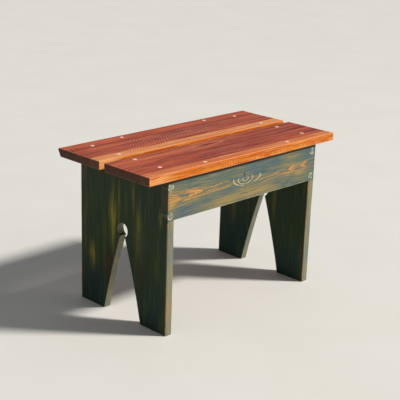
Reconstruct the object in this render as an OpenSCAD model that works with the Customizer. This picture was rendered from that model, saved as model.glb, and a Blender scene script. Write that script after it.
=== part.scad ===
// Small five-board bench: two seat boards on two cut-out end boards,
// tied by a front and a back apron let into notches. Millimetres, +Z up.
// The origin is on the floor, under the middle of the seat. +X runs along
// the seat, and -Y is the front.

/* [Seat] */
// Length of the seat boards
seat_l = 600; // [520:5:700]
// Width of each of the two seat boards
board_w = 141; // [136:1:148]
// Gap between the two seat boards
board_gap = 16; // [10:1:24]
// Height of the seat's top face above the floor
seat_h = 370; // [340:5:420]
// Thickness of every board in the bench
board_t = 19; // [17:0.5:22]
// Size of the sloped wane along the underside of the back board's rear edge
wane_w = 9; // [2:1:12]

/* [End boards] */
// Width of each end board, front to back
end_w = 286; // [280:1:290]
// Distance that the seat overhangs the outer face of an end board
overhang = 58.5; // [40:0.5:80]

/* [Aprons] */
// Height of the front and back aprons
apron_h = 89; // [80:1:100]

/* [Cut-out] */
// Diameter of the round hole at the top of the cut-out
hole_d = 33; // [28:1:40]
// Height of the round hole's centre above the floor
hole_z = 205; // [190:1:215]
// Width of the narrow throat where the arch meets the round hole
throat_w = 15; // [8:1:20]
// Width of the arch at the floor
arch_w = 122; // [110:1:140]
// Outward bulge of each side of the arch
arch_bulge = 2.5; // [2:0.5:8]

/* [Screws and plugs] */
// Diameter of the wood plugs and of the counterbores that they fill
plug_d = 9.5; // [8:0.5:12]
// Depth of the counterbores
bore_depth = 7; // [5:0.5:8]
// Head diameter of the wood screws
head_d = 8; // [7:0.1:8]
// Shank diameter of the wood screws
shank_d = 4.2; // [3.5:0.1:5]
// Overall length of the wood screws
screw_l = 40; // [32:1:45]

/* [Hidden] */

// directions along X and Y
LEFT = -1;
RIGHT = 1;
FRONT = -1;
BACK = 1;

// planes and centre lines
seat_d = 2 * board_w + board_gap;       // seat depth, front to back
under_z = seat_h - board_t;             // underside of the seat
apron_z = under_z - apron_h;            // lower edge of the aprons
end_x = seat_l / 2 - overhang;          // outer face of an end board
end_mid_x = end_x - board_t / 2;        // middle of an end board's thickness
apron_mid_y = end_w / 2 - board_t / 2;  // middle of an apron's thickness

// screw positions; the two sets in an end board stand to either side of its
// middle, so that they pass each other inside it
seat_row_y = [-103, -25, 27, 117];      // seat screws across each end board
front_row_x = [-126, 145];              // seat screws along the front apron
back_row_x = [-129, 141];               // seat screws along the back apron
apron_screw_z = [apron_z + 11, under_z - 16];
row_shift = 3;                          // seat screws, towards +X
apron_screw_shift = -2.5;               // apron screws, towards -X

// screw proportions: a 90 degree countersunk head, and a sharp tip
head_h = (head_d - shank_d) / 2;
tip_l = 6;

// the arch's sides are arcs through the throat and the foot, and its top
// runs up into the round hole
arch_top = hole_z - sqrt(pow(hole_d / 2, 2) - pow(throat_w / 2, 2));
chord = sqrt(pow((arch_w - throat_w) / 2, 2) + pow(arch_top, 2));
arc_r = pow(chord, 2) / (8 * arch_bulge) + arch_bulge / 2;
// the arc's centre lies beyond the middle of its chord, square to it
arc_reach = arc_r - arch_bulge;
arc_y = (arch_w + throat_w) / 4 - arc_reach * arch_top / chord;
arc_z = arch_top / 2 - arc_reach * (arch_w - throat_w) / 2 / chord;

through = 1;                            // how far a cutter runs past a face

// ---- shapes that repeat ----

// A wood screw, head at the origin and tip along -Z
module wood_screw() {
    rotate_extrude($fn = 48)
        polygon([[0, 0], [head_d / 2, 0], [shank_d / 2, -head_h],
                 [shank_d / 2, tip_l - screw_l], [0, -screw_l]]);
}

// The space a screw and its plug take, from a board's face at the origin
module screw_space() {
    translate([0, 0, -bore_depth])
        cylinder(d = plug_d, h = bore_depth + through, $fn = 48);
    translate([0, 0, -bore_depth])
        wood_screw();
}

// A plug that fills the counterbore above a screw
module plug() {
    translate([0, 0, -bore_depth])
        cylinder(d = plug_d, h = bore_depth, $fn = 48);
}

// Places children on the seat's top face above an end board
module on_end_row(side) {
    for (y = seat_row_y)
        translate([side * end_mid_x + row_shift, y, seat_h])
            children();
}

// Places children on the seat's top face above an apron
module on_apron_row(side) {
    row = side == FRONT ? front_row_x : back_row_x;
    for (x = row)
        translate([x, side * apron_mid_y, seat_h])
            children();
}

// Places children on an apron's outer face at one end, pointing outwards
module on_apron_end(end, side) {
    for (z = apron_screw_z)
        translate([end * end_mid_x + apron_screw_shift, side * end_w / 2, z])
            rotate([side * -90, 0, 0])
                children();
}

// All the screw spaces of the bench
module all_screw_spaces() {
    for (side = [LEFT, RIGHT])
        on_end_row(side)
            screw_space();
    for (side = [FRONT, BACK])
        on_apron_row(side)
            screw_space();
    for (end = [LEFT, RIGHT], side = [FRONT, BACK])
        on_apron_end(end, side)
            screw_space();
}

// ---- the boards ----

// Outline of the opening in an end board, in the board's own plane
module cutout_outline() {
    translate([0, hole_z])
        circle(d = hole_d, $fn = 96);
    // the two arcs cross above the throat, so the arch stops at the hole
    intersection() {
        translate([arc_y, arc_z])
            circle(r = arc_r, $fn = 360);
        translate([-arc_y, arc_z])
            circle(r = arc_r, $fn = 360);
        translate([-arch_w, -through])
            square([2 * arch_w, arch_top + 2 * through]);
    }
}

// An end board: notched at both top corners for the aprons, and cut away
// between its feet
module end_board(side) {
    color([0.16, 0.25, 0.24])
        difference() {
            translate([side * end_mid_x - board_t / 2, -end_w / 2, 0])
                cube([board_t, end_w, under_z]);
            for (s = [FRONT, BACK])
                translate([side * end_mid_x - board_t / 2 - through,
                           s * apron_mid_y - board_t / 2 + min(s, 0) * through, apron_z])
                    cube([board_t + 2 * through, board_t + through, apron_h + through]);
            translate([side * end_mid_x - board_t / 2 - through, 0, 0])
                rotate([90, 0, 90])
                    linear_extrude(board_t + 2 * through)
                        cutout_outline();
            all_screw_spaces();
        }
}

// An apron, flush with the end boards' outer faces and edges
module apron(side) {
    color([0.42, 0.5, 0.48])
        difference() {
            translate([-end_x, side * apron_mid_y - board_t / 2, apron_z])
                cube([2 * end_x, board_t, apron_h]);
            all_screw_spaces();
        }
}

module seat_board_front() {
    color([0.62, 0.3, 0.24])
        difference() {
            translate([-seat_l / 2, -seat_d / 2, under_z])
                cube([seat_l, board_w, board_t]);
            all_screw_spaces();
        }
}

// The back board keeps some wane, so its rear edge slopes in underneath
module seat_board_back() {
    color([0.62, 0.3, 0.24])
        difference() {
            translate([-seat_l / 2, 0, 0])
                rotate([90, 0, 90])
                    linear_extrude(seat_l)
                        polygon([[board_gap / 2, under_z],
                                 [seat_d / 2 - wane_w, under_z],
                                 [seat_d / 2, seat_h - board_t / 4],
                                 [seat_d / 2, seat_h],
                                 [board_gap / 2, seat_h]]);
            all_screw_spaces();
        }
}

// ---- the fastenings ----

module sunk_screw() {
    translate([0, 0, -bore_depth])
        wood_screw();
}

module apron_screws(end, side) {
    color("silver")
        on_apron_end(end, side)
            sunk_screw();
}

module apron_plugs(end, side) {
    color([0.55, 0.6, 0.57])
        on_apron_end(end, side)
            plug();
}

module seat_screws_end(side) {
    color("silver")
        on_end_row(side)
            sunk_screw();
}

module seat_screws_apron(side) {
    color("silver")
        on_apron_row(side)
            sunk_screw();
}

module seat_plugs_end(side) {
    color([0.93, 0.78, 0.68])
        on_end_row(side)
            plug();
}

module seat_plugs_apron(side) {
    color([0.93, 0.78, 0.68])
        on_apron_row(side)
            plug();
}

end_board(LEFT);  // end_board_left
end_board(RIGHT);  // end_board_right
apron(FRONT);  // apron_front
apron(BACK);  // apron_back
seat_board_front();
seat_board_back();
apron_screws(LEFT, FRONT);  // apron_screws_front_left
apron_screws(RIGHT, FRONT);  // apron_screws_front_right
apron_screws(LEFT, BACK);  // apron_screws_back_left
apron_screws(RIGHT, BACK);  // apron_screws_back_right
apron_plugs(LEFT, FRONT);  // apron_plugs_front_left
apron_plugs(RIGHT, FRONT);  // apron_plugs_front_right
apron_plugs(LEFT, BACK);  // apron_plugs_back_left
apron_plugs(RIGHT, BACK);  // apron_plugs_back_right
seat_screws_end(LEFT);  // seat_screws_left_end
seat_screws_end(RIGHT);  // seat_screws_right_end
seat_screws_apron(FRONT);  // seat_screws_front_apron
seat_screws_apron(BACK);  // seat_screws_back_apron
seat_plugs_end(LEFT);  // seat_plugs_left_end
seat_plugs_end(RIGHT);  // seat_plugs_right_end
seat_plugs_apron(FRONT);  // seat_plugs_front_apron
seat_plugs_apron(BACK);  // seat_plugs_back_apron
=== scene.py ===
import math

import bpy
import numpy as np
from mathutils import Matrix, Vector
from mathutils.geometry import delaunay_2d_cdt


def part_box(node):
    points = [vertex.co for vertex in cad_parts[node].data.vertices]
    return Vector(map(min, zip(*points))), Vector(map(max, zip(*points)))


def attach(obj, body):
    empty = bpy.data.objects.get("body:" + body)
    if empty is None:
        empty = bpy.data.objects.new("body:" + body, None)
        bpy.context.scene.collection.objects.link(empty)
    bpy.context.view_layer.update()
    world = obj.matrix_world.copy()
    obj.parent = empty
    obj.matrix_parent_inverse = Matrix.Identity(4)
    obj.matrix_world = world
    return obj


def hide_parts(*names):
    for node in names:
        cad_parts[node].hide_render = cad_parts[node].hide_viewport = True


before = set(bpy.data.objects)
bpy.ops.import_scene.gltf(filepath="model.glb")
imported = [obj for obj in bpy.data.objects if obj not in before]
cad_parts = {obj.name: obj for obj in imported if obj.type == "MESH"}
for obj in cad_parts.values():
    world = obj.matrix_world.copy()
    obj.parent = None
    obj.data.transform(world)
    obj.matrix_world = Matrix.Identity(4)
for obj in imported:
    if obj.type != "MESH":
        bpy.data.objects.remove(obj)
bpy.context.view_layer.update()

# A five-board bench. Board sizes are worked out in millimetres from the CAD
# nodes' boxes, and the scene is in metres. In the materials a board's own axes
# are u along the grain, v across it and w through its thickness. In the mesh
# code u and v are the axes of the board's outline: x and y on the seat, x and z
# on the aprons, and y and z on the end boards.
MM = 0.001


def box_mm(node):
    """The lowest and highest corner of a CAD node, in millimetres."""
    low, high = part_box(node)
    return np.array(low) / MM, np.array(high) / MM


SEAT_FRONT = box_mm("seat_board_front")
SEAT_BACK = box_mm("seat_board_back")
END_LEFT = box_mm("end_board_left")
APRON_FRONT = box_mm("apron_front")
APRON_BACK = box_mm("apron_back")
BOARD_T = SEAT_FRONT[1][2] - SEAT_FRONT[0][2]
UNDER_SEAT = SEAT_FRONT[0][2]
SEAT_L = SEAT_FRONT[1][0] - SEAT_FRONT[0][0]
APRON_Z = APRON_FRONT[0][2]

# the cut-out in the end boards, as in the CAD model
HOLE_R, HOLE_Z = 16.5, 205.0
THROAT_HALF, ARCH_HALF, ARCH_BULGE = 7.5, 61.0, 2.5
# how far the back board's rear edge slopes in underneath, and the plug and screw holes
WANE = 9.0
PLUG_R, PLUG_DEPTH, HEAD_R, SHANK_R = 4.75, 7.0, 4.0, 2.1

# points round a screw's hole and round a plug
HOLE_POINTS, PLUG_POINTS = 24, 28
# A triangle whose middle is nearer a hole's centre than this share of its radius
# lies in the hole. The share is between that of a triangle on three neighbouring
# points of the rim (0.977) and that of the rim's sides (0.991).
IN_HOLE = 0.985
# how far grid points keep from a rim, in cells, and from a hole, in millimetres
RIM_GAP, HOLE_GAP = 0.55, 0.5
# how far rubbing reaches from an arris, and the angle that stays sharp
WEAR_REACH, SHARP_ANGLE = 2.2, math.radians(38)


# ---- shapes ----

def waves(a, b=0.0, seed=0, reach=40.0):
    """Smooth noise from about -1 to 1; reach is the size of its features in mm."""
    rng = np.random.default_rng(seed)
    total = 0.0
    for k in range(6):
        turn, phase = rng.uniform(0, 2 * math.pi, 2)
        pace = (1 + 0.6 * k) * 2 / reach
        total = total + np.sin(pace * (a * math.cos(turn) + b * math.sin(turn)) + phase) / (1 + 0.35 * k)
    return total / 3


def walk(corners, step):
    """Points at about one step apart along a closed outline, its corners kept."""
    points = []
    for a, b in zip(corners, np.roll(corners, -1, 0)):
        count = max(1, round(np.linalg.norm(b - a) / step))
        points += [a + (b - a) * i / count for i in range(count)]
    return np.array(points)


def circle(centre, radius, count=HOLE_POINTS):
    """A hole's rim, clockwise, so that the wood lies on its left."""
    turns = -2 * np.pi * np.arange(count) / count
    return np.array(centre) + radius * np.stack([np.cos(turns), np.sin(turns)], 1)


def inset(points, amount):
    """A closed loop moved into the wood on its left, by one amount per point."""
    before = points - np.roll(points, 1, 0)
    after = np.roll(points, -1, 0) - points
    sides = []
    for way in (before, after):
        way = way / np.linalg.norm(way, axis=1)[:, None]
        sides.append(np.stack([-way[:, 1], way[:, 0]], 1))
    mitre = (sides[0] + sides[1]) / (1 + (sides[0] * sides[1]).sum(1))[:, None]
    return points + mitre * np.broadcast_to(amount, len(points))[:, None]


def inside(points, outline):
    """Which points lie inside an outline."""
    hit = np.zeros(len(points), bool)
    for a, b in zip(outline, np.roll(outline, -1, 0)):
        if a[1] == b[1]:
            continue
        crosses = (a[1] > points[:, 1]) != (b[1] > points[:, 1])
        at = a[0] + (points[:, 1] - a[1]) * (b[0] - a[0]) / (b[1] - a[1])
        hit ^= crosses & (points[:, 0] < at)
    return hit


def gap_to(points, others):
    """Each point's distance to the nearest of the others."""
    nearest = np.full(len(points), np.inf)
    for chunk in np.array_split(others, max(1, len(others) // 60)):
        nearest = np.minimum(nearest, np.linalg.norm(points[:, None] - chunk[None], axis=2).min(1))
    return nearest


class Board:
    """A board's mesh, built up as points in u, v, w (mm) and faces between them."""

    def __init__(self):
        self.points, self.faces, self.count = [], [], 0

    def ring(self, loop, w):
        """Adds a closed loop of points at height w, and returns their numbers."""
        block = np.column_stack([loop, np.broadcast_to(w, len(loop))])
        self.points.append(block)
        self.count += len(loop)
        return np.arange(self.count - len(loop), self.count)

    def strip(self, low, high):
        """Faces between two loops of the same length, the wood on their left."""
        for a, b, c, d in zip(low, np.roll(low, -1), np.roll(high, -1), high):
            self.faces.append((int(a), int(b), int(c), int(d)))

    def sheet(self, loops, numbers, w, cell, holes, upwards):
        """Triangles that fill the first loop, leaving the holes open. The loops' points have
        these numbers already; cell is the size of the grid between them along u and v."""
        rims = np.concatenate(loops)
        low, high = loops[0].min(0), loops[0].max(0)
        axes = [np.linspace(a, b, max(2, round((b - a) / c))) for a, b, c in zip(low, high, cell)]
        grid = np.stack(np.meshgrid(*axes), -1).reshape(-1, 2)
        # every second row is moved along a little
        grid[:, 0] += np.tile([0, 0.25 * cell[0]], len(axes[1]))[:len(axes[1])].repeat(len(axes[0]))
        grid = grid[inside(grid, loops[0])]
        grid = grid[gap_to(grid, rims) > RIM_GAP * min(cell)]
        for centre, radius in holes:
            grid = grid[np.linalg.norm(grid - centre, axis=1) > radius + HOLE_GAP]
        inner = self.ring(grid, w)
        known = np.concatenate([*numbers, inner])
        edges, start = [], 0
        for loop in loops:
            count = len(loop)
            edges += [(start + i, start + (i + 1) % count) for i in range(count)]
            start += count
        flat = [Vector(p) for p in np.concatenate([rims, grid])]
        spots, _, triangles, origin, _, _ = delaunay_2d_cdt(flat, edges, [], 1, 1e-7)
        for triangle in triangles:
            middle = sum((spots[i] for i in triangle), Vector((0, 0))) / 3
            if any((middle - Vector(c)).length < r * IN_HOLE for c, r in holes):
                continue
            face = tuple(int(known[origin[i][0]]) for i in triangle)
            self.faces.append(face if upwards else face[::-1])

    def array(self):
        """All the points, in the order of their numbers."""
        return np.concatenate(self.points)


def make_board(outline, holes, ease, upper_cell, lower_cell):
    """A board with rounded arrises; ease is each outline point's radius there. Each hole is
    (centre, side), with a counterbore for its plug in the face on that side: 1 is the upper
    face, at w = BOARD_T, and 0 is the lower one, at w = 0. The cells are their grids' sizes."""
    board = Board()
    turns = np.radians([0, 30, 60, 90])
    profile = [(ease * (1 - math.sin(t)), ease * (1 - math.cos(t))) for t in turns]
    steps = list(profile)
    steps += [(0 * ease, ease + (BOARD_T - 2 * ease) * k / 4) for k in (1, 2, 3)]
    steps += [(pull, BOARD_T - rise) for pull, rise in profile[::-1]]
    rings = [board.ring(inset(outline, pull), rise) for pull, rise in steps]
    for low, high in zip(rings, rings[1:]):
        board.strip(low, high)
    # for each face: its loops, their points' numbers, and its holes
    rim = inset(outline, ease)
    faces = (([rim], [rings[0]], []), ([rim], [rings[-1]], []))
    for centre, side in holes:
        # from the plug's face down: a softened rim, the counterbore, the
        # countersink and the shank's hole
        drops = [(PLUG_R + 0.25, 0), (PLUG_R + 0.08, 0.2), (PLUG_R, 0.8), (PLUG_R, PLUG_DEPTH),
                 (HEAD_R, PLUG_DEPTH), (SHANK_R, PLUG_DEPTH + HEAD_R - SHANK_R), (SHANK_R, BOARD_T)]
        levels = [(r, d if side == 0 else BOARD_T - d) for r, d in drops]
        if side == 1:
            levels = levels[::-1]
        bores = [board.ring(circle(centre, r), w) for r, w in levels]
        for low, high in zip(bores, bores[1:]):
            board.strip(low, high)
        for (loops, numbers, open_holes), end in zip(faces, (0, -1)):
            radius = levels[end][0]
            loops.append(circle(centre, radius))
            numbers.append(bores[end])
            open_holes.append((centre, radius))
    board.sheet(*faces[0][:2], 0.0, lower_cell, faces[0][2], False)
    board.sheet(*faces[1][:2], BOARD_T, upper_cell, faces[1][2], True)
    return board


def edge_share(points, outline):
    """1 on a board's arrises, falling to 0 a few millimetres away from them."""
    to_side = gap_to(points[:, :2], outline)
    to_face = np.minimum(points[:, 2], BOARD_T - points[:, 2])
    nearest = np.hypot(to_side, to_face)
    return np.exp(-nearest / WEAR_REACH)


def finish_piece(name, points, faces, material, nodes, edge=None):
    """Makes a mesh object from points in the frame's axes, in millimetres, and puts it in
    place of the CAD nodes. edge is each point's share of wear."""
    mesh = bpy.data.meshes.new(name)
    mesh.from_pydata((points * MM).tolist(), [], faces)
    mesh.validate()
    if edge is not None:
        mesh.attributes.new("edge", "FLOAT", "POINT").data.foreach_set("value", edge.astype(np.float32))
    mesh.shade_smooth()
    mesh.set_sharp_from_angle(angle=SHARP_ANGLE)
    mesh.materials.append(material)
    piece = bpy.data.objects.new(name, mesh)
    bpy.context.scene.collection.objects.link(piece)
    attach(piece, "root")
    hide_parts(*nodes)


# ---- numbers and colours inside a material ----

class Field:
    """A number that varies over a surface. Arithmetic on it adds Math nodes."""

    def __init__(self, tree, socket):
        self.tree, self.socket = tree, socket

    def math(self, kind, *others):
        """The result of a Math node on this field and the others, which may be numbers."""
        node = self.tree.nodes.new("ShaderNodeMath")
        node.operation = kind
        for slot, value in zip(node.inputs, (self, *others)):
            if isinstance(value, Field):
                self.tree.links.new(value.socket, slot)
            else:
                slot.default_value = value
        return Field(self.tree, node.outputs[0])

    def __add__(self, other):
        return self.math("ADD", other)

    def __sub__(self, other):
        return self.math("SUBTRACT", other)

    def __rsub__(self, other):
        """A number minus this field."""
        return self.math("MULTIPLY_ADD", -1.0, other)

    def __mul__(self, other):
        return self.math("MULTIPLY", other)

    def __truediv__(self, other):
        return self.math("DIVIDE", other)

    __radd__ = __add__
    __rmul__ = __mul__

    def size(self):
        """The field without its sign."""
        return self.math("ABSOLUTE")

    def root(self):
        """The field's square root."""
        return self.math("SQRT")

    def rise(self, low, high):
        """0 below low and 1 above high, with a smooth step between."""
        node = self.tree.nodes.new("ShaderNodeMapRange")
        node.interpolation_type = "SMOOTHSTEP"
        self.tree.links.new(self.socket, node.inputs["Value"])
        node.inputs["From Min"].default_value = low
        node.inputs["From Max"].default_value = high
        return Field(self.tree, node.outputs[0])

    def fall(self, low, high):
        """1 below low and 0 above high."""
        return 1.0 - self.rise(low, high)

    def band(self, low, high, soft):
        """1 between low and high, fading to 0 over soft outside them."""
        return self.rise(low - soft, low) * self.fall(high, high + soft)

    def late(self, period, start):
        """Lines where the field nears each multiple of period, as the late wood of a growth
        ring does: they darken slowly from the share start of the way, and end at once."""
        end = 0.93
        part = (self / period).math("FRACT")
        return part.rise(start, end) * part.fall(end, 1.0)

    def keep(self):
        """The field held between 0 and 1."""
        return self.math("MAXIMUM", 0.0).math("MINIMUM", 1.0)


class Finish:
    """A material under construction, with its place fields x, y, z in millimetres."""

    def __init__(self, name):
        self.material = bpy.data.materials.new(name)
        self.material.use_nodes = True
        self.tree = self.material.node_tree
        self.tree.nodes.clear()
        place = self.tree.nodes.new("ShaderNodeTexCoord").outputs["Object"]
        split = self.tree.nodes.new("ShaderNodeSeparateXYZ")
        self.tree.links.new(place, split.inputs[0])
        self.x, self.y, self.z = [Field(self.tree, s) * (1 / MM) for s in split.outputs]

    def attribute(self, name):
        """A number stored at the mesh's points."""
        node = self.tree.nodes.new("ShaderNodeAttribute")
        node.attribute_name = name
        return Field(self.tree, node.outputs["Fac"])

    def normal(self):
        """The surface normal's x, y and z."""
        split = self.tree.nodes.new("ShaderNodeSeparateXYZ")
        surface = self.tree.nodes.new("ShaderNodeNewGeometry")
        self.tree.links.new(surface.outputs["True Normal"], split.inputs[0])
        return [Field(self.tree, s) for s in split.outputs]

    def noise(self, *place, detail=2.0, rough=0.5, bend=0.0):
        """Noise from 0 to 1 at a place of two or three fields or numbers, in units of the
        size of the noise's features."""
        join = self.tree.nodes.new("ShaderNodeCombineXYZ")
        for slot, value in zip(join.inputs, place):
            if isinstance(value, Field):
                self.tree.links.new(value.socket, slot)
            else:
                slot.default_value = value
        node = self.tree.nodes.new("ShaderNodeTexNoise")
        self.tree.links.new(join.outputs[0], node.inputs["Vector"])
        node.inputs["Scale"].default_value = 1.0
        node.inputs["Detail"].default_value = detail
        node.inputs["Roughness"].default_value = rough
        node.inputs["Distortion"].default_value = bend
        return Field(self.tree, node.outputs[0])

    def spot(self, u, v, at, size):
        """1 at a place, falling to 0 around it."""
        du, dv = (u - at[0]) / size[0], (v - at[1]) / size[1]
        return ((du * du + dv * dv) * -1.0).math("EXPONENT")

    def ring(self, u, v, at, size, width):
        """A thin line along an ellipse."""
        du, dv = (u - at[0]) / size[0], (v - at[1]) / size[1]
        off = ((du * du + dv * dv).root() - 1.0) * (min(size) / width)
        return (off * off * -1.0).math("EXPONENT")

    def flame(self, u, v, tip, way, spread, reach, width):
        """A line shaped like a flame's tip, which points along u if way is 1, or back if
        it is -1. Its two arms are 2 * spread apart at the far end, reach away from the tip."""
        side = ((v - tip[1]) / spread).size()
        off = (u - tip[0]) * way / reach + side.math("POWER", 1.4)
        slope = (side.math("POWER", 0.8) * (1.4 * reach / spread) ** 2 + 1.0).root()
        off = off * reach / slope / width
        return (off * off * -1.0).math("EXPONENT") * side.fall(0.7, 1.1)

    def mix(self, share, first, second):
        """A colour between two others; each is a colour or a socket."""
        node = self.tree.nodes.new("ShaderNodeMix")
        node.data_type = "RGBA"
        for slot, value in ((node.inputs[0], share), (node.inputs[6], first), (node.inputs[7], second)):
            if isinstance(value, Field):
                value = value.socket
            if isinstance(value, bpy.types.NodeSocket):
                self.tree.links.new(value, slot)
            else:
                slot.default_value = value
        return node.outputs[2]

    def done(self, colour, roughness, height, relief, **sockets):
        """Wires the shader up: relief is the bump's depth in millimetres, and the other
        named values are set on the shader's own sockets."""
        shader = self.tree.nodes.new("ShaderNodeBsdfPrincipled")
        bump = self.tree.nodes.new("ShaderNodeBump")
        bump.inputs["Distance"].default_value = relief * MM
        self.tree.links.new(height.socket, bump.inputs["Height"])
        self.tree.links.new(bump.outputs[0], shader.inputs["Normal"])
        self.tree.links.new(colour, shader.inputs["Base Color"])
        self.tree.links.new(roughness.socket, shader.inputs["Roughness"])
        for name, value in sockets.items():
            shader.inputs[name.replace("_", " ")].default_value = value
        output = self.tree.nodes.new("ShaderNodeOutputMaterial")
        self.tree.links.new(shader.outputs[0], output.inputs[0])
        return self.material


def tone(red, green, blue):
    """A colour on the usual 0 to 255 scale, as the linear one that a shader takes."""
    parts = [c / 255 for c in (red, green, blue)]
    return (*[c / 12.92 if c <= 0.04045 else ((c + 0.055) / 1.055) ** 2.4 for c in parts], 1.0)


# ---- the seat's wood ----

TICK_PITCH = 8.0          # between one saw mark and the next
SAW_R = 420.0             # radius of the saw that left them
SAW_AXIS = 300.0          # how far behind a board's front edge its axis ran
END_WORN = 35, 80         # between here and there the front face's pale left end fades out


def saw_phase(u, v):
    """Counts the saw's marks along a seat board, where v is the distance from its front
    edge. The fraction tells the place between two marks. Works on numbers and on fields."""
    across = v - SAW_AXIS
    square = SAW_R ** 2 - across * across
    arc = square.root() if isinstance(square, Field) else np.sqrt(square)
    return (u + arc * -1.0) / TICK_PITCH


def seat_wood(name, look):
    """Red heartwood with a strip of orange sapwood along the front edge. The look holds the
    y of the board's front edge, the sapwood's width, its colours, its dark streaks
    (v, width, strength), its tinted places (kind, place, size, strength), its dark eyes
    (place, size) and the places where the saw's marks show (place, size, strength)."""
    f = Finish(name)
    seed = look["seed"]
    u, v, w = f.x, f.y - look["front"], f.z - UNDER_SEAT
    drift = (f.noise(u / 160, v / 60, seed) - 0.5) * 10.0
    vd = v + drift
    slow = f.noise(u / 190, vd / 15, w / 15 + seed, detail=3, bend=0.4)
    bands = f.noise(u / 150, vd / 7, w / 7 + seed + 1, detail=3, rough=0.55, bend=0.3)
    grain = f.noise(u / 110, vd / 3.2, w / 3.2 + seed, detail=3, rough=0.6)
    fine = f.noise(u / 90, vd / 1.2, w / 1.2 + seed, detail=4, rough=0.65)
    pore = f.noise(u / 18, vd / 0.55, w / 0.55 + seed, detail=2, rough=0.7)
    rings = ((vd * vd) * 0.0021 + vd * 0.8 + w * 0.55 + slow * 5).late(4.3, 0.45)

    # heartwood, from brick to a darker purple red
    towards_plum = slow.rise(0.36, 0.64)
    for kind, at, size, strength in look["tints"]:
        if kind == "plum":
            towards_plum = towards_plum + f.spot(u, v, at, size) * strength
        if kind == "brick":
            towards_plum = towards_plum - f.spot(u, v, at, size) * strength
    heart = f.mix(towards_plum.keep(), look["brick"], look["plum"])
    heart = f.mix(bands.rise(0.52, 0.68) * 0.55, heart, tone(216, 116, 76))
    heart = f.mix(bands.fall(0.34, 0.48) * 0.60, heart, tone(118, 42, 36))
    heart = f.mix(grain.rise(0.50, 0.68) * 0.45, heart, tone(210, 120, 80))
    heart = f.mix(grain.fall(0.34, 0.48) * 0.50, heart, tone(116, 44, 36))
    heart = f.mix(fine.rise(0.52, 0.74) * 0.35, heart, tone(204, 122, 88))
    heart = f.mix(fine.fall(0.28, 0.46) * 0.55, heart, tone(98, 34, 28))
    heart = f.mix(rings * 0.34, heart, tone(98, 32, 26))
    for kind, at, size, strength in look["tints"]:
        if kind == "salmon":
            share = f.spot(u, v, at, size) * (grain.rise(0.3, 0.6) * strength)
            heart = f.mix(share, heart, tone(216, 124, 86))
    for at, width, strength in look["streaks"]:
        line = f.spot(u * 0.0, vd, (0, at), (1, width)) * f.noise(u / 90, at, seed).rise(0.30, 0.50)
        heart = f.mix(line * strength, heart, tone(84, 26, 24))
    for at, size in look["eyes"]:
        halo = f.ring(u, v, at, (size[0] * 1.9, size[1] * 2.5), 1.8) * grain.rise(0.35, 0.6)
        heart = f.mix(halo * 0.75, heart, tone(232, 140, 98))
        heart = f.mix(f.spot(u, v, at, size) * 0.95, heart, tone(88, 20, 20))

    # sapwood
    sapwood = f.mix(slow.rise(0.3, 0.7), look["amber"], look["straw"])
    sapwood = f.mix(bands.fall(0.34, 0.50) * 0.50, sapwood, tone(204, 102, 44))
    sapwood = f.mix(bands.rise(0.52, 0.66) * 0.35, sapwood, tone(250, 188, 134))
    sapwood = f.mix(grain.fall(0.33, 0.50) * 0.60, sapwood, tone(188, 88, 36))
    sapwood = f.mix(fine.fall(0.3, 0.5) * 0.55, sapwood, tone(176, 80, 30))
    sapwood = f.mix(grain.rise(0.54, 0.70) * 0.50, sapwood, tone(248, 190, 134))
    sapwood = f.mix(rings * 0.25, sapwood, tone(186, 90, 36))
    sapwood = f.mix(pore.rise(0.60, 0.78) * 0.40, sapwood, tone(252, 208, 156))

    # the front face is a deeper amber, paler in worn flecks and saw ticks low down
    face = (f.normal()[1] * -1.0).rise(0.5, 0.9)
    deep = f.mix(grain.rise(0.38, 0.62), tone(190, 84, 3), tone(218, 124, 14))
    deep = f.mix(fine.fall(0.3, 0.48) * 0.6, deep, tone(150, 60, 2))
    flecks = f.noise(u / 40, w / 2.6, seed + 4, detail=3).rise(0.50, 0.66)
    deep = f.mix(flecks * 0.6, deep, tone(242, 166, 70))
    # painted shadow: a broken dark line 7 mm below the top of the front face, as the front board's shadow
    # falls on the back board's front face across the gap
    gap_shadow_line = (w + (7.0 - BOARD_T) + drift * 0.3).size().fall(0.3, 2.0)
    deep = f.mix(gap_shadow_line * f.noise(u / 60, seed).rise(0.35, 0.6) * 0.65, deep, tone(150, 66, 6))
    upright = (u / TICK_PITCH + f.noise(u / 30, w / 20) * 1.2).math("FRACT")
    broken = f.noise(u / 6, w / 2.5, seed + 9, detail=2).rise(0.38, 0.60)
    ticks = upright.band(0.38, 0.48, 0.14) * w.fall(5, 13) * broken * u.rise(-130, -60)
    deep = f.mix(ticks * f.noise(u / 42, seed + 9).rise(0.42, 0.58) * 0.75, deep, tone(255, 210, 148))
    near_end = u.fall(*[-SEAT_L / 2 + far for far in END_WORN]) * grain.rise(0.36, 0.58)
    deep = f.mix(near_end * 0.75, deep, tone(240, 178, 112))
    sapwood = f.mix(face, sapwood, deep)

    # the wavering line between sapwood and heartwood
    waver = (f.noise(u / 48, seed + 6, detail=3) - 0.5) * 7.0
    edge_of_sap = vd - look["sap"] - (fine - 0.5) * 4.0 + waver
    colour = f.mix(edge_of_sap.rise(-1.6, 1.6), sapwood, heart)
    colour = f.mix((edge_of_sap - 1.5).size().fall(0.4, 3.0) * 0.40, colour, tone(126, 46, 28))

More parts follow.
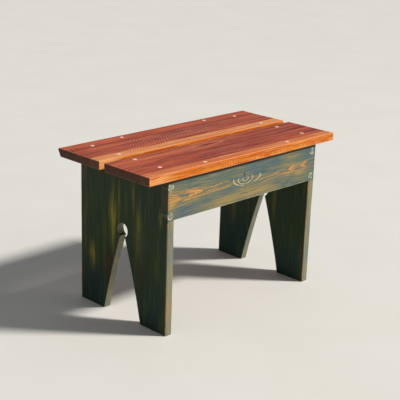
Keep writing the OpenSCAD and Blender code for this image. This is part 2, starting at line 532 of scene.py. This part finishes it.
    # saw marks: pale where the ridges are rubbed, dark in the hollows
    phase = (saw_phase(u, v) + f.noise(u / 34, v / 34, seed) * 1.1).math("FRACT")
    ridge = phase.band(0.42, 0.52, 0.18)
    sawn = f.noise(u / 50, v / 26, seed + 2, detail=3).rise(0.46, 0.64) * 0.35
    for at, size, strength in look["sawn"]:
        place = f.spot(u, v, at, size) * f.noise(u / 30, v / 14, seed + 8, detail=2).rise(0.32, 0.54)
        sawn = sawn + place * strength
    sawn = sawn.keep()
    rows = f.noise(u / 5, vd / 2.4, seed, detail=2).rise(0.36, 0.60)
    marks = ridge * sawn * rows
    top = f.normal()[2].rise(0.5, 0.9)
    colour = f.mix(marks * top * 0.72, colour, tone(240, 172, 146))
    hollow = phase.band(0.84, 0.94, 0.12) * sawn
    colour = f.mix(hollow * top * 0.45, colour, tone(92, 34, 32))

    # arrises rubbed paler, and end grain much darker: partly the end grain's own darker colour, partly
    # painted shade
    edge = f.attribute("edge")
    rub = (edge * 1.35 + f.noise(u / 9, v / 9, w / 9) * 0.8 - 0.9).keep() * 0.75
    colour = f.mix(rub, colour, tone(244, 166, 118))
    end_grain = f.normal()[0].size().rise(0.6, 0.95)
    soaked = f.mix(grain.rise(0.4, 0.6), tone(52, 28, 18), tone(78, 44, 28))
    colour = f.mix(end_grain * 0.92, colour, f.mix(rings * 0.6, soaked, tone(34, 18, 12)))

    gloss = fine * 0.14 + pore * 0.12 + 0.34 + marks * 0.12
    height = grain * 0.4 + fine * 0.4 + pore * 0.35 + rings * 0.4 + marks * 0.5
    return f.done(colour, gloss, height, 0.32, Specular_IOR_Level=0.22)


# ---- the stained boards' wood ----

def stained_wood(name, along, across, through, look):
    """Blue-green stain rubbed back to tan on the hard grain. along, across and through name
    the frame's axes that the board's u, v and w run along. The look holds its colours and
    its own figure: hills (u, reach, lift), blue and tan places (place, size, strength),
    flames (tip, way, spread, reach, strength), single lines or runs (v, left, right, tilt,
    strength), knots (place, size, strength), rings (place, size, left, right) and plugs."""
    f = Finish(name)
    axes = {"x": f.x, "y": f.y, "z": f.z}
    u, v, w = axes[along], axes[across], axes[through]
    seed = look["seed"]
    bend = (f.noise(u / 140, v / 45, seed) - 0.5) * look["bend"]
    vd = v + bend
    cloud = f.noise(u / 62, vd / 15, w / 15 + seed, detail=3, rough=0.55)
    brush = f.noise(u / 55, vd / 5, w / 5 + seed + 3, detail=3, rough=0.6)
    fine = f.noise(u / 70, vd / 1.4, w / 1.4 + seed, detail=4, rough=0.65)
    pore = f.noise(u / 14, vd / 0.6, w / 0.6 + seed, detail=2, rough=0.7)

    # growth rings run along the grain, and spread or close where the hills
    # rise or fall
    hill = (cloud - 0.5) * 5.0 + w * 0.3
    for at, reach, lift in look["hills"]:
        hill = hill + u.rise(at - reach, at + reach) * lift
    centred = vd - look["spine"]
    lines = ((centred * centred + 9.0).root() + hill).late(look["period"], 0.52)

    # stain, from blue to green to a worn olive
    stain = f.mix(cloud.rise(0.36, 0.62), look["stain"][0], look["stain"][1])
    stain = f.mix(brush.rise(0.42, 0.70) * 0.55, stain, look["stain"][2])
    for at, size, strength in look["blue"]:
        share = f.spot(u, v, at, size) * (brush.rise(0.28, 0.55) * strength)
        stain = f.mix(share.keep(), stain, look["blue_tone"])

    # rubbed places show the tan wood
    rubbed = f.noise(u / 110, vd / 8, seed + 7, detail=4, rough=0.6).rise(0.50, 0.70) * look["rub"]
    for at, size, strength in look["tan"]:
        rubbed = rubbed + f.spot(u, v, at, size) * (brush.rise(0.28, 0.58) * strength)
    colour = f.mix(rubbed.keep(), stain, look["wood"])
    colour = f.mix(lines * look["line"] * brush.rise(0.35, 0.6), colour, look["ochre"])
    colour = f.mix(fine.fall(0.30, 0.48) * look["depth"], colour, look["dark"])
    colour = f.mix(fine.rise(0.55, 0.74) * look["depth"] * 0.7, colour, look["light"])
    colour = f.mix(pore.rise(0.60, 0.78) * 0.14, colour, look["light"])

    # flames and single lines, which the stain has left bare
    bared = f.noise(u / 10, v / 3, seed + 5, detail=3).rise(0.34, 0.50)
    for height, left, right, tilt, strength in look["runs"]:
        off = vd - height - (u - left) * tilt + (brush - 0.5) * 4.0
        stroke = (off * off * -1.2).math("EXPONENT") * u.band(left, right, 12.0) * bared
        colour = f.mix(stroke * strength, colour, look["ochre"])
    for tip, way, spread, reach, strength in look["flames"]:
        stroke = f.flame(u, vd, tip, way, spread, reach, 1.2) * bared
        colour = f.mix((stroke * strength).keep(), colour, look["ochre"])

    # knots, and the pale rings that hang below them
    for at, size, strength in look["knots"]:
        colour = f.mix(f.spot(u, v, at, (size[0] * 2.2, size[1] * 2.2)) * 0.3, colour, look["dark"])
        colour = f.mix(f.spot(u, v, at, size) * strength, colour, look["knot"])
    for at, size, left, right in look["rings"]:
        arc = f.ring(u, vd + (brush - 0.5) * 3.0, at, size, 0.62)
        part = v.fall(at[1], at[1] + 7) * u.band(left, right, 6.0) * (bared * 0.5 + 0.5)
        colour = f.mix(arc * part * 0.68, colour, look["pale"])

    # pale worn wood round the plugs, on the narrow faces and on the arrises
    for at in look["plugs"]:
        halo = f.ring(u, v, at, (PLUG_R + 2.0, PLUG_R + 2.0), 1.6)
        chips = f.noise(u / 9, v / 9, seed + 1, detail=2).rise(0.46, 0.58)
        colour = f.mix(halo * chips * 0.75, colour, look["pale"])
    facing = dict(zip("xyz", f.normal()))
    narrow = facing[across].size().rise(0.55, 0.85)
    worn = f.mix(brush.rise(0.40, 0.58), look["narrow"][0], look["narrow"][1])
    worn = f.mix(fine.fall(0.30, 0.48) * 0.5, worn, look["narrow"][2])
    colour = f.mix(narrow * 0.9, colour, worn)
    edge = f.attribute("edge")
    chipped = f.noise(u / 16, v / 16, w / 16, detail=4, rough=0.65)
    wear = (edge * 1.7 + chipped * 1.1 - look["edge_cut"]).keep()
    rim = f.mix(brush.rise(0.4, 0.6), look["arris"][0], look["arris"][1])
    colour = f.mix(wear * 0.9, colour, rim)
    # painted shadow: a dark band along the tops of the faces that look forward or back, just under the
    # seat, where the seat's overhang casts shade
    seat_shadow = f.z.rise(UNDER_SEAT - 9.5, UNDER_SEAT - 6.0) * facing["y"].size()
    colour = f.mix(seat_shadow * (fine * 0.3 + 0.65), colour, tone(30, 30, 26))

    # end grain soaks up more stain
    end_grain = facing[along].size().rise(0.6, 0.9)
    colour = f.mix(end_grain * 0.85, colour, f.mix(lines * 0.5, look["soaked"], look["knot"]))

    gloss = fine * 0.2 + pore * 0.15 + 0.48 + wear * 0.12
    height = fine * 0.55 + pore * 0.35 + lines * 0.5 + brush * 0.15
    return f.done(colour, gloss, height, 0.35, Specular_IOR_Level=0.2)


# what the stained boards share, unless a look of their own says otherwise
STAIN = dict(
    stain=(tone(72, 98, 100), tone(94, 110, 92), tone(124, 124, 84)), wood=tone(158, 134, 82),
    ochre=tone(220, 150, 66), dark=tone(60, 80, 78), light=tone(152, 150, 112), pale=tone(228, 216, 172),
    knot=tone(40, 36, 30), blue_tone=tone(62, 96, 112), soaked=tone(36, 48, 36),
    arris=(tone(206, 178, 130), tone(186, 186, 164)), rub=0.50, line=0.22, bend=9.0, period=6.4,
    narrow=(tone(150, 138, 104), tone(120, 130, 118), tone(92, 96, 84)), edge_cut=1.25, depth=0.36)

# u is x and v is z on the aprons, whose figure is centred on this height
SPINE = APRON_Z + 48.0
APRON_LOOK = dict(
    STAIN, seed=3.0, spine=SPINE, hills=((-150, 95, 13.0), (150, 75, -12.0)),
    tan=(((-236, SPINE - 2), (18, 26), 1.1), ((-210, SPINE - 3), (10, 5), 0.9),
         ((-152, SPINE + 1), (12, 4), 0.9), ((-70, APRON_Z + 12), (75, 11), 0.75),
         ((40, APRON_Z + 14), (60, 12), 0.9), ((-150, SPINE - 10), (60, 7), 0.4),
         ((130, SPINE - 10), (80, 8), 0.5), ((-60, SPINE + 30), (70, 6), 0.45),
         ((185, APRON_Z + 32), (16, 9), 0.9), ((160, SPINE + 26), (30, 12), 0.5)),
    blue=(((-185, APRON_Z + 14), (42, 15), 1.1), ((20, SPINE + 22), (46, 14), 0.9),
          ((-110, SPINE + 22), (60, 8), 0.5), ((215, SPINE + 20), (28, 26), 0.9),
          ((90, SPINE + 24), (50, 10), 0.6), ((-60, SPINE - 14), (60, 6), 0.4),
          ((90, SPINE - 18), (70, 6), 0.4)),
    flames=(((-206, SPINE - 3), 1, 17, 34, 0.8), ((-213, SPINE - 3), 1, 10, 26, 1.0),
            ((-222, SPINE - 3), 1, 5, 20, 1.0), ((-142, SPINE + 1), 1, 11, 60, 0.9),
            ((-150, SPINE + 1), 1, 7, 52, 1.0), ((-160, SPINE + 1), 1, 4, 44, 0.8),
            ((-100, SPINE + 1), 1, 16, 110, 0.45), ((146, SPINE - 4), -1, 9, 26, 0.9),
            ((151, SPINE - 4), -1, 4, 20, 0.9), ((188, SPINE - 1), -1, 9, 26, 1.0),
            ((194, SPINE - 1), -1, 4, 20, 1.0), ((96, SPINE - 6), -1, 14, 140, 0.35)),
    runs=((SPINE + 3, -135, -62, 0.03, 0.8), (SPINE - 12, -190, -60, 0.05, 0.8),
          (SPINE - 5, -120, -40, 0.02, 0.5), (SPINE - 10, 48, 100, 0.03, 0.8),
          (SPINE - 17, 60, 150, 0.06, 0.5), (SPINE - 20, -20, 60, 0.02, 0.4),
          (SPINE - 13, 150, 232, 0.0, 0.4), (SPINE + 12, -230, -150, -0.03, 0.4)),
    knots=(((-8, SPINE + 11), (1.9, 3.6), 0.9),),
    rings=(((-4, SPINE + 1), (9, 5), -14, 8), ((-4, SPINE + 1), (24, 10), -30, 20),
           ((2, SPINE + 2), (45, 14), -46, -14), ((2, SPINE + 2), (43, 13), 26, 47)),
    plugs=((-234, APRON_Z + 11), (-234, UNDER_SEAT - 16), (229, APRON_Z + 11), (229, UNDER_SEAT - 16)))

# u is z and v is y on the end boards. Their colours are the aprons' stain made much darker, as painted
# shade; their narrow faces keep the aprons' lighter colours.
SHADED_END_LOOK = dict(
    STAIN, stain=(tone(34, 56, 42), tone(42, 60, 36), tone(50, 66, 34)),
    wood=tone(136, 126, 44), ochre=tone(96, 90, 34), dark=tone(26, 40, 28), light=tone(70, 84, 42),
    knot=tone(70, 46, 32), blue_tone=tone(24, 50, 56), rub=0.16, line=0.06, bend=16.0, period=7.0,
    plugs=(), rings=(), runs=(),
    arris=(tone(214, 124, 48), tone(140, 116, 76)), edge_cut=1.20, depth=0.26,
    tan=(((215, 30), (62, 6), 1.2), ((240, 34), (30, 11), 0.7), ((205, -53), (55, 9), 0.6),
         ((290, -35), (32, 3), 0.7), ((265, 12), (60, 3), 0.5), ((120, 102), (28, 10), 1.1),
         ((262, -120), (16, 4), 0.9), ((150, 60), (60, 5), 0.3), ((190, 128), (80, 5), 0.35)),
    blue=(((50, 95), (60, 40), 1.0), ((40, -90), (50, 40), 0.8), ((300, -80), (60, 40), 0.4)),
    knots=(((113, 40), (24, 17), 0.85), ((117, -63), (24, 15), 0.45)),
    flames=(), hills=((90, 120, 14.0),), spine=8.0)

# u is x, and v is counted from the front edge, on the seat boards
SEAT_LOOK = dict(brick=tone(206, 98, 64), plum=tone(156, 64, 56), amber=tone(230, 144, 76),
                 straw=tone(246, 172, 118), eyes=())
FRONT_LOOK = dict(
    SEAT_LOOK, front=SEAT_FRONT[0][1], sap=27.0, seed=11.0,
    amber=tone(216, 112, 56), straw=tone(228, 142, 92),
    sawn=(((0, 60), (75, 14), 0.8), ((-30, 18), (60, 8), 0.4), ((150, 100), (60, 20), 0.35)),
    streaks=((84, 2.2, 0.75), (128, 1.8, 0.8), (137, 1.4, 0.8), (50, 1.6, 0.5), (104, 1.5, 0.5)),
    tints=(("plum", (-60, 60), (190, 22), 0.5), ("plum", (160, 90), (150, 34), 0.4),
           ("brick", (-190, 112), (110, 20), 0.7), ("salmon", (-190, 116), (110, 12), 0.75),
           ("salmon", (-40, 104), (80, 7), 0.9), ("salmon", (0, 133), (260, 3), 0.9),
           ("salmon", (-30, 124), (60, 4), 0.8), ("brick", (60, 116), (70, 12), 0.4)),
    eyes=(((-18, 115), (24, 4.0)),))
BACK_LOOK = dict(
    SEAT_LOOK, front=SEAT_BACK[0][1], sap=31.0, seed=23.0,
    sawn=(((-70, 66), (120, 22), 1.0), ((90, 72), (90, 22), 0.8), ((20, 14), (200, 10), 0.7)),
    streaks=((99, 2.2, 0.85), (60, 1.4, 0.5), (76, 1.3, 0.4), (130, 1.2, 0.4)),
    tints=(("plum", (20, 70), (210, 20), 0.55), ("brick", (0, 122), (330, 14), 0.9),
           ("brick", (-220, 70), (60, 30), 0.5), ("salmon", (-200, 126), (110, 8), 0.4)))


# ---- the boards ----

SLAB_STEP, END_STEP = 4.0, 4.5         # between points along the boards' outlines
ARCH_POINTS, ROUND_POINTS, FOOT_POINTS = 44, 34, 18     # along the end boards' cut-out
SEAT_CELL, SEAT_UNDER_CELL = (2.1, 3.4), (14.0, 14.0)
APRON_CELL, END_CELL = (4.0, 4.0), (4.5, 6.0)
SAW_RELIEF, HOLLOW, SWELL = 0.14, 0.18, 0.1     # of the seat's face
STAINED_SWELL = 0.12                   # of the end boards' and aprons' faces
EDGE_WAVER = 0.22                      # of the seat boards' sawn edges
WANE_REACH = 26                        # how far in the sloping edge is drawn from


def slab(low, high):
    """The outline of a plain rectangular board."""
    corners = [(low[0], low[1]), (high[0], low[1]), (high[0], high[1]), (low[0], high[1])]
    return walk(np.array(corners), SLAB_STEP)


def worn_ease(outline, seed, base, spread):
    """How far each point's arris is rounded: more in some places than in others."""
    return base + spread * waves(outline[:, 0], outline[:, 1], seed, 70) * 0.8


def seat_board(name, box, rows, material, seed, wane=0.0):
    """One seat board: saw-marked top, softened arrises, and a screw hole in each place in
    rows. wane is how far its rear edge slopes in underneath."""
    low, high = box[0][:2], box[1][:2]
    outline = slab(low, high)
    holes = [(np.array(at), 1) for at in rows]
    ease = worn_ease(outline, seed, 1.3, 0.7)
    board = make_board(outline, holes, ease, SEAT_CELL, SEAT_UNDER_CELL)
    places = board.array()
    edge = edge_share(places, outline)
    u, v, w = places.T
    # the top is a little hollow across the board, and ridged by the saw, except
    # round the plugs
    on_top = w > BOARD_T - 2.0
    v_share = (v - low[1]) / (high[1] - low[1]) * 2 - 1
    ridge = 0.5 + 0.5 * np.cos(2 * np.pi * saw_phase(u, v - low[1]))
    patch = 0.5 + 0.5 * waves(u, v, seed + 5, 60)
    drop = 0.06 + SAW_RELIEF * ridge * patch + HOLLOW * (1 - v_share ** 2)
    drop = drop + SWELL * (waves(u, v, seed + 1, 120) + 1)
    away = np.ones(len(places))
    for at in rows:
        away = np.minimum(away, np.clip((np.hypot(u - at[0], v - at[1]) - PLUG_R) / 6, 0.25, 1))
    w = np.where(on_top, w - drop * away, w)
    # the sawn front and back edges waver a little
    on_side = np.minimum(v - low[1], high[1] - v) < 3.0
    inwards = np.where(v < (low[1] + high[1]) / 2, 1, -1)
    v = np.where(on_side, v + inwards * EDGE_WAVER * (1 + waves(u, w, seed + 2, 90)), v)
    if wane:
        # the rear edge falls away underneath, unevenly
        deep = np.clip(1 - w / (0.75 * BOARD_T), 0, 1) ** 0.8
        near_back = np.clip((v - (high[1] - WANE_REACH)) / WANE_REACH, 0, 1)
        v = v - wane * deep * near_back * (0.93 + 0.07 * waves(u, w, seed + 3, 50))
    # the sawn ends are not quite flat
    at_end = np.abs(u) > SEAT_L / 2 - 2.5
    u = np.where(at_end, u * (1 - 0.0007 * (1 + waves(v, w, seed + 4, 30))), u)
    points = np.column_stack([u, v, w + UNDER_SEAT])
    finish_piece(name, points, board.faces, material, [name], edge)


def plug_centres(node):
    """The middle of each plug in a node, in millimetres."""
    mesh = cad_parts[node].data
    places = np.array([v.co for v in mesh.vertices]) / MM
    centres = []
    while len(places):
        near = np.linalg.norm(places - places[0], axis=1) < 2.5 * PLUG_R
        centres.append((places[near].min(0) + places[near].max(0)) / 2)
        places = places[~near]
    return centres


def end_outline():
    """An end board in the plane of y (as u here) and z (as v): notches, feet and cut-out."""
    half = END_LEFT[1][1]
    shoulder = APRON_FRONT[1][1]
    top = HOLE_Z - math.sqrt(HOLE_R ** 2 - THROAT_HALF ** 2)
    chord = math.hypot(ARCH_HALF - THROAT_HALF, top)
    radius = chord ** 2 / (8 * ARCH_BULGE) + ARCH_BULGE / 2
    reach = radius - ARCH_BULGE
    centre_y = (ARCH_HALF + THROAT_HALF) / 2 - reach * top / chord
    centre_z = top / 2 - reach * (ARCH_HALF - THROAT_HALF) / chord
    heights = np.linspace(0, top, ARCH_POINTS)
    side = centre_y + np.sqrt(radius ** 2 - (heights - centre_z) ** 2)
    open_at = math.asin(THROAT_HALF / HOLE_R)
    turns = np.linspace(open_at, 2 * math.pi - open_at, ROUND_POINTS)[1:-1]
    hole = np.stack([-HOLE_R * np.sin(turns), HOLE_Z - HOLE_R * np.cos(turns)], 1)
    left = np.stack([-side, heights], 1)
    right = np.stack([side, heights], 1)[::-1]
    opening = np.concatenate([left, hole, right])
    straight = np.array([(half, 0), (half, APRON_Z), (-shoulder, APRON_Z), (-shoulder, UNDER_SEAT),
                         (shoulder, UNDER_SEAT), (shoulder, APRON_Z), (-half, APRON_Z), (-half, 0)])
    closed = walk(straight, END_STEP)
    # the last stretch, back to the start along the floor, makes way for the feet
    # and the opening between them
    keep = int(np.argmin(np.linalg.norm(closed - straight[-1], axis=1))) + 1
    feet = [np.array([(x, 0.0) for x in np.linspace(a, b, FOOT_POINTS)[1:-1]])
            for a, b in ((-half, -ARCH_HALF), (ARCH_HALF, half))]
    return np.concatenate([closed[:keep], feet[0], opening, feet[1]])


def end_board(name, material, seed):
    """One end board. Its outer arrises are rubbed most, and those in its notches least."""
    half = END_LEFT[1][1]
    outline = end_outline()
    free = np.ones(len(outline))
    free[(outline[:, 1] > APRON_Z - 1) & (np.abs(outline[:, 0]) < half - 0.5)] = 0.2
    ease = np.maximum(worn_ease(outline, seed, 1.4, 0.8) * free, 0.25)
    board = make_board(outline, (), ease, END_CELL, END_CELL)
    places = board.array()
    y, z, w = places.T
    handled = np.where(np.abs(y) > half - 4, 1.2 + 0.35 * waves(z, 0, seed + 4, 110), 0.55)
    edge = edge_share(places, outline) * handled * np.clip((APRON_Z - 1 - z) / 4, 0.1, 1)
    w = np.where(w > BOARD_T / 2, w - STAINED_SWELL * (1 + waves(y, z, seed + 1, 80)),
                 w + STAINED_SWELL * (1 + waves(y, z, seed + 2, 80)))
    on_side = (np.abs(y) > half - 3) & (z > 4)
    y = np.where(on_side, y * (1 - 0.0012 * (1 + waves(z, w, seed + 3, 60))), y)
    points = np.column_stack([box_mm(name)[0][0] + w, y, z])
    finish_piece(name, points, board.faces, material, [name], edge)


def apron(name, box, facing, holes, material, seed):
    """An apron, with u along x and v along z. Its outer face looks forward along y if facing
    is -1, and back if it is 1."""
    low, high = box
    outline = slab((low[0], low[2]), (high[0], high[2]))
    bores = [(np.array(at), 1 if facing > 0 else 0) for at in holes]
    ease = np.maximum(worn_ease(outline, seed, 1.1, 0.8), 0.3)
    board = make_board(outline, bores, ease, APRON_CELL, APRON_CELL)
    places = board.array()
    x, z, w = places.T
    edge = edge_share(places, outline)
    edge = edge * np.clip((high[0] - 2.5 - np.abs(x)) / 6, 0.25, 1)
    outer = (w > BOARD_T / 2) == (facing > 0)
    swell = STAINED_SWELL * (1 + waves(x, z, seed + 1, 110))
    sunk = 0.1 + swell * np.clip(1.6 - edge * 2, 0.3, 1)
    w = np.where(outer, w - facing * sunk, w)
    # the lower edge is nibbled here and there
    nibble = np.clip(waves(x, w, seed + 2, 34) - 0.55, 0, 1) * 1.6
    z = np.where(z < low[2] + 2, z + nibble, z)
    # x, z and y, in this order, are left-handed, so the faces are turned over
    points = np.column_stack([x, low[1] + w, z])
    faces = [face[::-1] for face in board.faces]
    finish_piece(name, points, faces, material, [name], edge)


def plugs(node, axis, way, material, seed):
    """The plugs of one node: short dowels with softened rims, sanded nearly flush. They
    stand along an axis, 1 for y or 2 for z, with their outer ends towards way."""
    points, faces, base = [], [], 0
    rng = np.random.default_rng(seed)
    low, high = box_mm(node)
    outer = high[axis] if way > 0 else low[axis]
    others = [i for i in range(3) if i != axis]
    # x and y with z are right-handed, but x and z with y aren't
    kept = (way > 0) != (axis == 1)
    for centre in plug_centres(node):
        # each level's radius and its depth under the board's face, from the bottom up
        sunk = rng.uniform(0.02, 0.10)
        levels = [(PLUG_R - 0.03, PLUG_DEPTH), (PLUG_R - 0.03, 0.3), (PLUG_R - 0.08, 0.12 + sunk),
                  (PLUG_R - 0.25, 0.05 + sunk), (PLUG_R * 0.6, 0.02 + sunk), (PLUG_R * 0.25, sunk)]
        loops = []
        for radius, depth in levels:
            rim = circle((0, 0), radius, PLUG_POINTS)[::-1]
            tilt = 0.004 * rim[:, 0] * rng.uniform(-1, 1)
            ring = np.zeros((PLUG_POINTS, 3))
            ring[:, others] = rim + centre[others]
            ring[:, axis] = outer - way * (depth + np.abs(tilt))
            loops.append([base + i for i in range(PLUG_POINTS)])
            points.append(ring)
            base += PLUG_POINTS
        outward = []
        for lower, upper in zip(loops, loops[1:]):
            for i in range(PLUG_POINTS):
                j = (i + 1) % PLUG_POINTS
                outward.append((lower[i], lower[j], upper[j], upper[i]))
        outward.append(tuple(loops[-1]))
        outward.append(tuple(loops[0][::-1]))
        faces += [face if kept else face[::-1] for face in outward]
    finish_piece(node, np.concatenate(points), faces, material, [node])


def plug_wood(name, base, dark, light, blot):
    """Face-grain plug wood, with a few blots."""
    f = Finish(name)
    fine = f.noise(f.x / 1.0, f.y / 7, f.z / 1.2, detail=4, rough=0.6)
    blotch = f.noise(f.x / 5, f.y / 5, f.z / 5 + 7.0, detail=3)
    colour = f.mix(blotch.rise(0.3, 0.7), base, light)
    colour = f.mix(fine.fall(0.3, 0.5) * 0.45, colour, dark)
    colour = f.mix(blotch.fall(0.28, 0.4) * 0.4, colour, blot)
    return f.done(colour, fine * 0.2 + 0.42, fine + blotch * 0.3, 0.2, Specular_IOR_Level=0.4)


def screw_metal():
    """Zinc-plated steel with faint blotches."""
    f = Finish("zinc_screw")
    blotch = f.noise(f.x / 2.5, f.y / 2.5, f.z / 2.5, detail=4)
    colour = f.mix(blotch.rise(0.3, 0.7), tone(168, 168, 160), tone(204, 202, 192))
    return f.done(colour, blotch * 0.2 + 0.28, blotch, 0.05, Metallic=1.0)


# ---- the bench ----

SEAT_ROWS = "left_end", "right_end", "front_apron", "back_apron"
APRON_ENDS = "front_left", "front_right", "back_left", "back_right"


def on_board(places, box):
    """Those places that lie on a seat board."""
    return [at for at in places if box[0][1] < at[1] < box[1][1]]


seat_places = [tuple(c[:2]) for row in SEAT_ROWS for c in plug_centres("seat_plugs_" + row)]

front_wood = seat_wood("cedar_front", FRONT_LOOK)
back_wood = seat_wood("cedar_back", BACK_LOOK)
seat_board("seat_board_front", SEAT_FRONT, on_board(seat_places, SEAT_FRONT), front_wood, 31)
seat_board("seat_board_back", SEAT_BACK, on_board(seat_places, SEAT_BACK), back_wood, 47, wane=WANE)

apron_places = [(c[0], c[2]) for end in APRON_ENDS[:2] for c in plug_centres("apron_plugs_" + end)]
front_stain = stained_wood("stain_apron_front", "x", "z", "y", APRON_LOOK)
back_stain = stained_wood("stain_apron_back", "x", "z", "y", dict(
    APRON_LOOK, seed=15.0, bend=16.0, knots=(), rings=(), runs=()))
apron("apron_front", APRON_FRONT, -1, apron_places, front_stain, 5)
apron("apron_back", APRON_BACK, 1, apron_places, back_stain, 6)

# the end boards' colours are darkened as painted shade
left_shaded_stain = stained_wood("shaded_stain_end_left", "z", "y", "x", dict(SHADED_END_LOOK, seed=8.0))
right_shaded_stain = stained_wood("shaded_stain_end_right", "z", "y", "x", dict(
    SHADED_END_LOOK, seed=19.0, spine=-22.0, knots=(), edge_cut=1.45, rub=0.12,
    tan=(((200, -40), (60, 6), 0.45), ((150, 95), (50, 8), 0.4), ((285, 70), (30, 4), 0.4))))
end_board("end_board_left", left_shaded_stain, 61)
end_board("end_board_right", right_shaded_stain, 71)

pale = plug_wood("pale_plug_wood", tone(255, 216, 192), tone(236, 176, 142),
                 tone(255, 236, 220), tone(210, 132, 98))
stained = plug_wood("stained_plug_wood", tone(110, 126, 122), tone(70, 88, 86),
                    tone(150, 154, 136), tone(60, 66, 62))
for number, row in enumerate(SEAT_ROWS):
    plugs("seat_plugs_" + row, 2, 1, pale, 80 + number)
for number, end in enumerate(APRON_ENDS):
    plugs("apron_plugs_" + end, 1, -1 if "front" in end else 1, stained, 90 + number)

# the screws keep their CAD meshes
zinc = screw_metal()
for node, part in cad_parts.items():
    if "_screws_" in node:
        part.data.materials.clear()
        part.data.materials.append(zinc)


# ---- floor, light and camera, in metres ----

FLOOR_REACH = 20.0
KEY_PLACE, KEY_STRENGTH, KEY_ANGLE = (1.7, -1.75, 2.3), 3.5, math.radians(7)
FILL_PLACE, FILL_POWER, FILL_SIZE = (2.2, -2.6, 1.7), 14.0, 2.2
SKY_STRENGTH = 0.22
LIT_POINT = (0, 0, 0.2)
CAMERA_PLACE = (-1.5878, -1.5466, 0.9473)
CAMERA_AZIMUTH, CAMERA_ELEVATION, CAMERA_ROLL = [math.radians(a) for a in (-45.74, 18.072, 1.869)]
LENS_MM, SENSOR_MM = 89.26, 36.0


def floor_material():
    """A pale, plain floor with faint mottling."""
    f = Finish("pale_floor")
    mottle = f.noise(f.x / 260, f.y / 260, detail=5, rough=0.6)
    colour = f.mix(mottle.rise(0.3, 0.7), tone(230, 228, 221), tone(233, 231, 225))
    return f.done(colour, mottle * 0.1 + 0.75, mottle, 0.2)


def make_floor():
    """The floor that the bench stands on."""
    mesh = bpy.data.meshes.new("floor")
    signs = ((-1, -1), (1, -1), (1, 1), (-1, 1))
    corners = [(x * FLOOR_REACH, y * FLOOR_REACH, 0) for x, y in signs]
    mesh.from_pydata(corners, [], [(0, 1, 2, 3)])
    mesh.materials.append(floor_material())
    floor = bpy.data.objects.new("floor", mesh)
    bpy.context.scene.collection.objects.link(floor)


def add_light(name, kind, energy, place, **settings):
    """A light that shines on the bench."""
    light = bpy.data.lights.new(name, kind)
    light.energy = energy
    for key, value in settings.items():
        setattr(light, key, value)
    lamp = bpy.data.objects.new(name, light)
    bpy.context.scene.collection.objects.link(lamp)
    lamp.location = place
    lamp.rotation_euler = (Vector(LIT_POINT) - Vector(place)).to_track_quat("-Z", "Y").to_euler()


def make_light():
    """A soft key light from the front right, a weak fill beside it, and a pale sky."""
    add_light("key", "SUN", KEY_STRENGTH, KEY_PLACE, angle=KEY_ANGLE, color=(1.0, 0.97, 0.92))
    add_light("fill", "AREA", FILL_POWER, FILL_PLACE, shape="DISK", size=FILL_SIZE, color=(0.93, 0.97, 1.0))
    world = bpy.data.worlds.new("studio")
    world.use_nodes = True
    sky = world.node_tree.nodes["Background"]
    sky.inputs["Color"].default_value = (0.92, 0.96, 1.0, 1.0)
    sky.inputs["Strength"].default_value = SKY_STRENGTH
    bpy.context.scene.world = world


def make_camera():
    """The camera stands at the front left of the bench, and looks down at it."""
    level = math.cos(CAMERA_ELEVATION)
    forward = Vector((-math.sin(CAMERA_AZIMUTH) * level, math.cos(CAMERA_AZIMUTH) * level,
                      -math.sin(CAMERA_ELEVATION)))
    right = Vector((math.cos(CAMERA_AZIMUTH), math.sin(CAMERA_AZIMUTH), 0))
    up = right.cross(forward)
    side = right * math.cos(CAMERA_ROLL) + up * math.sin(CAMERA_ROLL)
    top = up * math.cos(CAMERA_ROLL) - right * math.sin(CAMERA_ROLL)
    lens = bpy.data.cameras.new("camera")
    lens.sensor_width = SENSOR_MM
    lens.lens = LENS_MM
    camera = bpy.data.objects.new("camera", lens)
    bpy.context.scene.collection.objects.link(camera)
    turn = Matrix((side, top, -forward)).transposed().to_4x4()
    camera.matrix_world = Matrix.Translation(CAMERA_PLACE) @ turn
    bpy.context.scene.camera = camera


make_floor()
make_light()
make_camera()
bpy.context.scene.view_settings.view_transform = "Standard"
